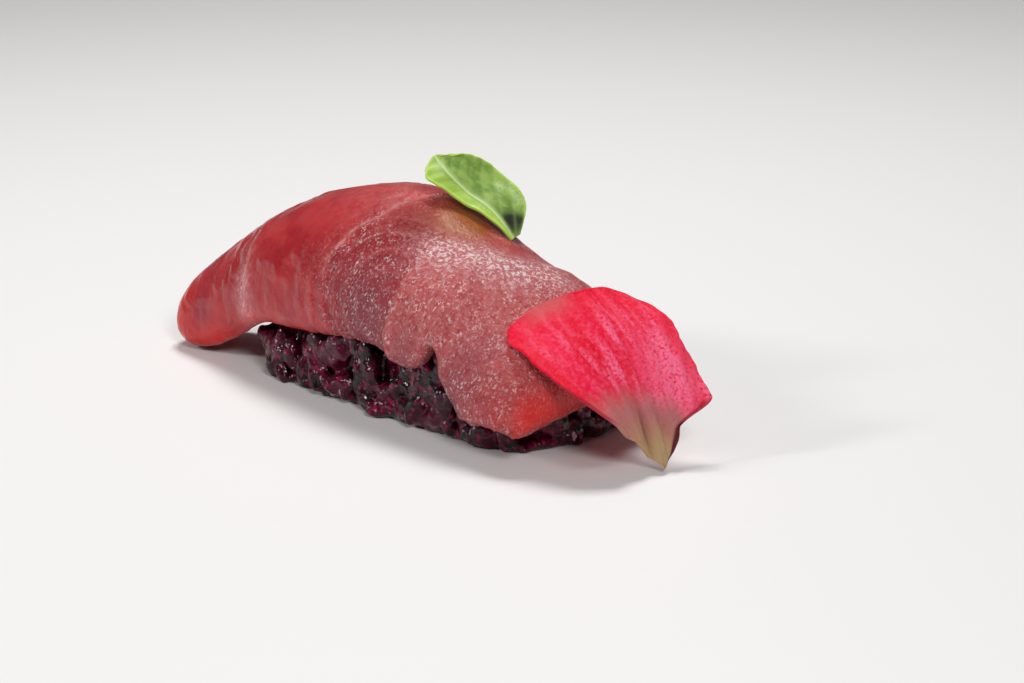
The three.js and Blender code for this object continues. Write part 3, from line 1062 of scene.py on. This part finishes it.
@dataclass
class Leaf:
    """The small leaf on the crest. Its midrib rises from its foot to its tip."""

    node: str = "leaf"
    thickness_mm: float = 0.42
    squares: tuple[int, int] = (40, 64)
    spine: tuple[Triple, ...] = (
        (9.3, 3.4, 23.1), (7.5, 2.9, 25.2), (5.2, 2.4, 26.9), (3.0, 1.5, 28.1), (1.3, 0.8, 29.5),
        (0.1, 0.3, 30.6), (-1.0, 0.1, 31.5), (-1.7, 0.0, 32.1),
    )
    facing: Vector = field(default_factory=lambda: Vector((0.52, 0.02, 0.85)).normalized())
    near_way: Vector = field(default_factory=lambda: Vector((0.2, -0.9, -0.4)).normalized())
    far_way: Vector = field(default_factory=lambda: Vector((-0.2, 0.97, 0.16)).normalized())
    near_widths: tuple[float, ...] = (0.5, 1.0, 1.6, 2.0, 2.3, 2.8, 3.3, 2.6)
    far_widths: tuple[float, ...] = (1.5, 5.6, 6.9, 7.3, 7.2, 6.4, 4.6, 0.8)
    tip_way: Vector = field(default_factory=lambda: Vector((-0.75, -0.1, 0.65)).normalized())
    tip_mm: float = 0.7
    dish_mm: float = 0.75
    groove_mm: float = 0.2
    vein_mm: float = 0.04
    wave_mm: float = 0.05
    vein_count: float = 7.0
    tip_patch: Spot = Spot(0.7, (-0.9, -0.7, 31.4), (0.8, 1.0, 1.2))
    foot_shade: Spot = Spot(3.8, (8.6, 4.3, 23.1), (1.9, 2.6, 2.6))

    def width(self, up: float, half: Half) -> float:
        """Gives how far a half of the blade reaches from the midrib, in millimetres."""
        return through(self.near_widths if half is Half.NEAR else self.far_widths, up)

    def place(self, up: float, swing: float) -> Vector:
        """Works out a point of the blade.

        Args:
            up: from 0 at the foot to 1 at the tip.
            swing: from -1 at the far edge to 1 at the near edge, 0 on the midrib.

        Returns:
            The point in millimetres.
        """
        middle = Vector([through([point[axis] for point in self.spine], up) for axis in range(3)])
        rounding = float(ease(0.8, 1.0, up)) * (1.0 - swing * swing)
        middle += self.tip_way * rounding * self.tip_mm
        half = Half.NEAR if swing > 0 else Half.FAR
        reach = abs(swing) * self.width(up, half)
        hollow = 0.0 if half is Half.NEAR else self.dish_mm * math.sin(math.pi * swing * swing)
        groove = self.groove_mm * math.exp(-((reach / 0.4) ** 2))
        veins = math.cos(math.tau * (self.vein_count * up - 0.35 * reach)) * min(1.0, reach)
        wave = self.wave_mm * math.sin(9.0 * up + 3.0 * swing) * swing * swing
        lift = wave - self.vein_mm * veins - groove - hollow * math.sin(math.pi * up)
        way = self.near_way if half is Half.NEAR else self.far_way
        return middle + way * reach + self.facing * lift

    def build(self) -> Piece:
        """Builds and dresses the leaf.

        Returns:
            The finished piece.
        """
        piece = curved_sheet("leaf_blade", *self.squares)
        ups, swings = sheet_shares(piece)
        places = np.array([self.place(up, swing) for up, swing in zip(ups, swings)])
        move_corners(piece, places)
        width = np.array([
            self.width(up, Half.NEAR if swing > 0 else Half.FAR) for up, swing in zip(ups, swings)
        ])
        reach = np.abs(swings) * width
        side_veins = 0.5 + 0.5 * np.cos(math.tau * (self.vein_count * ups - 0.35 * reach))
        vein = bell(reach, 0.3) + 0.16 * side_veins**6 * np.clip(reach, 0.0, 1.0)
        paint(piece, "vein", 0.9 * vein + self.tip_patch.on(places))
        edge = np.minimum(width - reach, 6.0 * np.minimum(ups, 1.0 - ups))
        bright_edge = 0.85 * bell(edge, 0.28) * (1.0 - 0.6 * ease(0.12, 0.04, ups))
        near_strip = 0.5 * ease(0.1, 0.4, swings)
        paint(piece, "rim", bright_edge + near_strip)
        far_half = ease(0.0, 0.12, -swings) * ease(1.0, 0.93, -swings)
        paint(piece, "shade", self.foot_shade.on(places) * far_half)
        thicken(piece, self.thickness_mm)
        dress(piece, LeafFinish().make())
        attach(piece, "root")
        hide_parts(self.node)
        return piece


@dataclass(frozen=True)
class Crease:
    """A short crease in the petal: its place across and up, its length and its depth."""

    reach_mm: float
    up: float
    length: float
    depth_mm: float
    width_mm: float = 0.5

    def sink(self, up: float, reach: float) -> float:
        """Gives how deep the crease is at a place, in millimetres."""
        share = bell(reach - self.reach_mm, self.width_mm) * bell(up - self.up, self.length)
        return self.depth_mm * float(share)


@dataclass
class Petal:
    """The petal, standing on its pale tip and leaning on the end of the slice."""

    node: str = "petal"
    squares: tuple[int, int] = (72, 84)
    length_mm: float = 24.0
    thickness_mm: float = 0.5
    foot: Vector = field(default_factory=lambda: Vector((40.7, -0.3, 0.5)))
    up_way: Vector = field(default_factory=lambda: Vector((-0.541, 0.029, 0.841)).normalized())
    out_way: Vector = field(default_factory=lambda: Vector((0.833, -0.122, 0.54)).normalized())
    left_widths: tuple[float, ...] = (0.08, 2.3, 5.8, 8.3, 10.1, 11.1, 11.6, 11.8, 10.6)
    right_edge: tuple[tuple[float, float], ...] = (
        (0.0, 0.08), (0.07, 2.2), (0.13, 3.2), (0.19, 4.1), (0.215, 5.4), (0.25, 8.2), (0.28, 8.7),
        (0.35, 8.7), (0.50, 8.2), (0.62, 7.9), (0.75, 7.7), (0.88, 7.0), (1.0, 5.4),
    )
    left_cup: tuple[float, ...] = (0.06, 0.06, 0.055, 0.022, 0.006, -0.006, -0.015, -0.02, -0.024)
    right_cup: tuple[float, ...] = (0.06, 0.04, 0.025, 0.022, 0.022, 0.022, 0.028, 0.032, 0.03)
    bow: tuple[float, ...] = (0.0, 0.4, 0.7, 0.9, 0.9, 0.6, -0.1, -1.5, -3.1)
    waves_mm: float = 0.3
    fold_mm: float = 0.07
    torn_fold_mm: float = 0.3
    ripple_mm: float = 0.15
    creases: tuple[Crease, ...] = (Crease(1.0, 0.20, 0.13, 0.5), Crease(-1.6, 0.26, 0.11, 0.3))
    blush: Spot = Spot(0.95, (36.5, 5.4, 11.5), (4.5, 4.2, 7.0))
    crimson_patch: Spot = Spot(1.0, (29.0, 0.5, 20.0), (3.5, 5.0, 3.0))

    def reach(self, up: float, swing: float) -> float:
        """Measures how far to the side of the middle line a point of the blade is.

        Args:
            up: from 0 at the foot to 1 at the top.
            swing: from -1 at the right edge to 1 at the left edge.

        Returns:
            Millimetres from the middle line, above 0 to the left.
        """
        ragged = 1.0 + (0.012 * math.sin(29.0 * up) + 0.006 * math.sin(97.0 * up + 1.0)) * swing**8
        if swing > 0:
            return swing * ragged * through(self.left_widths, up)
        ups, widths = zip(*self.right_edge)
        return swing * ragged * float(np.interp(up, ups, widths))

    def torn(self, up: Values) -> Values:
        """Gives 1 along the torn and folded stretch of the right edge, and 0 elsewhere."""
        return ease(0.02, 0.05, up) * ease(0.28, 0.24, up)

    def place(self, up: float, swing: float) -> Vector:
        """Works out a point of the blade.

        Args:
            up: from 0 at the foot to 1 at the top.
            swing: from -1 at the right edge to 1 at the left edge.

        Returns:
            The point in millimetres.
        """
        left_way = self.out_way.cross(self.up_way).normalized()
        reach = self.reach(up, swing)
        height = up + float(ease(0.7, 1.0, up)) * (0.035 - 0.09 * abs(swing) ** 3)
        cup = through(self.right_cup if swing < 0 else self.left_cup, up) * reach * reach
        waves = self.waves_mm * math.cos(2.1 * reach) * float(ease(0.55, 0.05, up))
        fan = 0.35 + up
        folds = self.fold_mm * math.sin(3.1 * reach / fan + 2.0 * up) * fan
        folds -= sum(crease.sink(up, reach) for crease in self.creases)
        folds -= self.torn_fold_mm * float(ease(-0.66, -0.85, swing) * self.torn(up))
        ripple = self.ripple_mm * math.sin(15.0 * up + 2.0 * swing) * swing**6
        out = through(self.bow, up) + cup + waves + folds + ripple
        return self.foot + self.up_way * height * self.length_mm + left_way * reach + self.out_way * out

    def paint_blade(self, piece: Piece, ups: np.ndarray, swings: np.ndarray) -> None:
        """Paints the pale foot, the stripes, the crimson, the darker edges and painted shade in a
        crease.

        Args:
            piece: the curved sheet.
            ups: how far up each corner is.
            swings: how far to the side each corner is.
        """
        places = places_of(piece)
        reach = np.array([self.reach(up, swing) for up, swing in zip(ups, swings)])
        wander = 0.3 * np.sin(2.1 * reach) + 0.18 * np.sin(5.3 * reach + 1.0)
        from_foot = np.hypot(self.length_mm * ups, reach) - 0.33 * reach + wander
        paint(piece, "cream", ease(7.5, 2.0, from_foot))
        top_left = ease(0.1, 0.4, swings) * ease(0.9, 0.6, swings)
        top_left *= ease(0.86, 0.99, ups)
        paint(piece, "dusty", 0.92 * ease(11.5, 7.0, from_foot) + 0.5 * top_left)
        inner = ease(8.0, 1.0, reach) * ease(1.0, 0.65, ups)
        paint(piece, "stripe", 0.5 + 0.4 * inner)
        paint(piece, "blush", self.blush.on(places))
        outer = np.maximum(ease(0.72, 0.95, swings), ease(-0.72, -0.9, swings))
        outer = np.maximum(outer, ease(0.80, 0.98, ups)) * ease(0.3, 0.5, ups)
        paint(piece, "crimson", 0.6 * np.maximum(outer, self.crimson_patch.on(places)))
        left_rim = bell(1.0 - swings, 0.02) * ease(0.24, 0.32, ups) * ease(0.6, 0.5, ups)
        torn_rim = ease(0.20, 0.22, ups) * ease(0.29, 0.25, ups)
        torn_rim *= ease(-0.80, -0.86, swings)
        paint(piece, "rim", 0.8 * (left_rim + torn_rim))
        torn = self.torn(ups) * ease(0.22, 0.20, ups) * ease(-0.68, -0.78, swings)
        # Painted shade in the crease near the foot.
        crease = bell(reach - 1.0, 0.35) * bell(ups - 0.20, 0.12)
        paint(piece, "maroon", 0.95 * torn + 0.5 * crease)

    def build(self) -> Piece:
        """Builds and dresses the petal.

        Returns:
            The finished piece.
        """
        piece = curved_sheet("petal_blade", *self.squares)
        ups, swings = sheet_shares(piece)
        move_corners(piece, np.array([self.place(up, swing) for up, swing in zip(ups, swings)]))
        self.paint_blade(piece, ups, swings)
        group = piece.vertex_groups.new(name="thickness")
        for index, up in enumerate(ups):
            group.add([index], float(ease(-0.03, 0.12, up)), "REPLACE")
        thicken(piece, self.thickness_mm, group.name)
        dress(piece, PetalFinish().make())
        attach(piece, "root")
        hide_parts(self.node)
        return piece


@dataclass(frozen=True)
class Softbox:
    """A square studio light aimed at the food."""

    name: str
    place: Triple
    side: float
    watts: float

    def add(self, aim: Vector) -> None:
        """Adds the light, turned towards a point.

        Args:
            aim: the point, in metres.
        """
        light = bpy.data.lights.new(self.name, "AREA")
        light.shape = "SQUARE"
        light.size = self.side
        light.energy = self.watts
        lamp = bpy.data.objects.new(self.name, light)
        lamp.location = self.place
        lamp.rotation_euler = (aim - lamp.location).to_track_quat("-Z", "Y").to_euler()
        bpy.context.scene.collection.objects.link(lamp)


@dataclass
class Studio:
    """The pale floor, the lights and the camera of the photograph."""

    azimuth_degrees: float = 48.0
    elevation_degrees: float = 16.0
    lens_mm: float = 105.0
    sensor_mm: float = 36.0
    frame_width_px: float = 1024.0
    pixels_per_mm: float = 7.6
    origin_px: tuple[float, float] = (447.0, 400.0)
    centre_px: tuple[float, float] = (512.0, 341.5)
    floor_side: float = 4.0
    floor_drop_mm: float = 0.02
    aim: Triple = (0.0, 0.0, 0.012)
    sky_strength: float = 0.12
    softboxes: tuple[Softbox, ...] = (
        Softbox("overhead", (-0.12, 0.11, 0.43), 0.14, 1.55),
        Softbox("front left", (-0.18, -0.40, 0.26), 0.09, 0.75),
        Softbox("front right", (0.42, -0.22, 0.32), 0.12, 1.4),
    )

    def add_floor(self) -> None:
        """Adds the floor, a hair below the base."""
        bpy.ops.object.select_all(action="DESELECT")
        place = (0.0, 0.0, -self.floor_drop_mm * MM)
        bpy.ops.mesh.primitive_plane_add(size=self.floor_side, location=place)
        floor = bpy.context.active_object
        floor.name = "floor"
        floor.data.materials.append(FloorFinish().make())

    def add_lights(self) -> None:
        """Adds the softboxes and a dim even sky."""
        for softbox in self.softboxes:
            softbox.add(Vector(self.aim))
        world = bpy.data.worlds.new("studio")
        world.use_nodes = True
        world.node_tree.nodes["Background"].inputs["Color"].default_value = (1.0, 1.0, 1.0, 1.0)
        world.node_tree.nodes["Background"].inputs["Strength"].default_value = self.sky_strength
        bpy.context.scene.world = world

    def add_camera(self) -> None:
        """Places the camera so that the origin falls on its pixel of the photograph."""
        azimuth = math.radians(self.azimuth_degrees)
        elevation = math.radians(self.elevation_degrees)
        back = Vector((
            math.sin(azimuth) * math.cos(elevation),
            -math.cos(azimuth) * math.cos(elevation),
            math.sin(elevation),
        ))
        right = Vector((math.cos(azimuth), math.sin(azimuth), 0.0))
        up = back.cross(right)
        focal_px = self.lens_mm / self.sensor_mm * self.frame_width_px
        distance = focal_px / self.pixels_per_mm * MM
        across = (self.centre_px[0] - self.origin_px[0]) / self.pixels_per_mm * MM
        above = (self.origin_px[1] - self.centre_px[1]) / self.pixels_per_mm * MM
        data = bpy.data.cameras.new("camera")
        data.lens = self.lens_mm
        data.sensor_width = self.sensor_mm
        data.clip_start = 0.01
        camera = bpy.data.objects.new("camera", data)
        camera.location = right * across + up * above + back * distance
        camera.rotation_euler = back.to_track_quat("Z", "Y").to_euler()
        bpy.context.scene.collection.objects.link(camera)
        bpy.context.scene.camera = camera

    def build(self) -> None:
        """Sets up everything around the food."""
        self.add_floor()
        self.add_lights()
        self.add_camera()
        bpy.context.scene.view_settings.view_transform = "Standard"


def main() -> None:
    """Builds every piece in order and reports each one."""
    logging.basicConfig(level=logging.INFO, format="%(name)s: %(message)s")
    Studio().build()
    LOG.info("studio ready")
    for maker in (TunaSlice(), RiceBlock(), Leaf(), Petal()):
        piece = maker.build()
        LOG.info("%s built with %d faces", piece.name, len(piece.data.polygons))


if __name__ == "__main__":
    main()
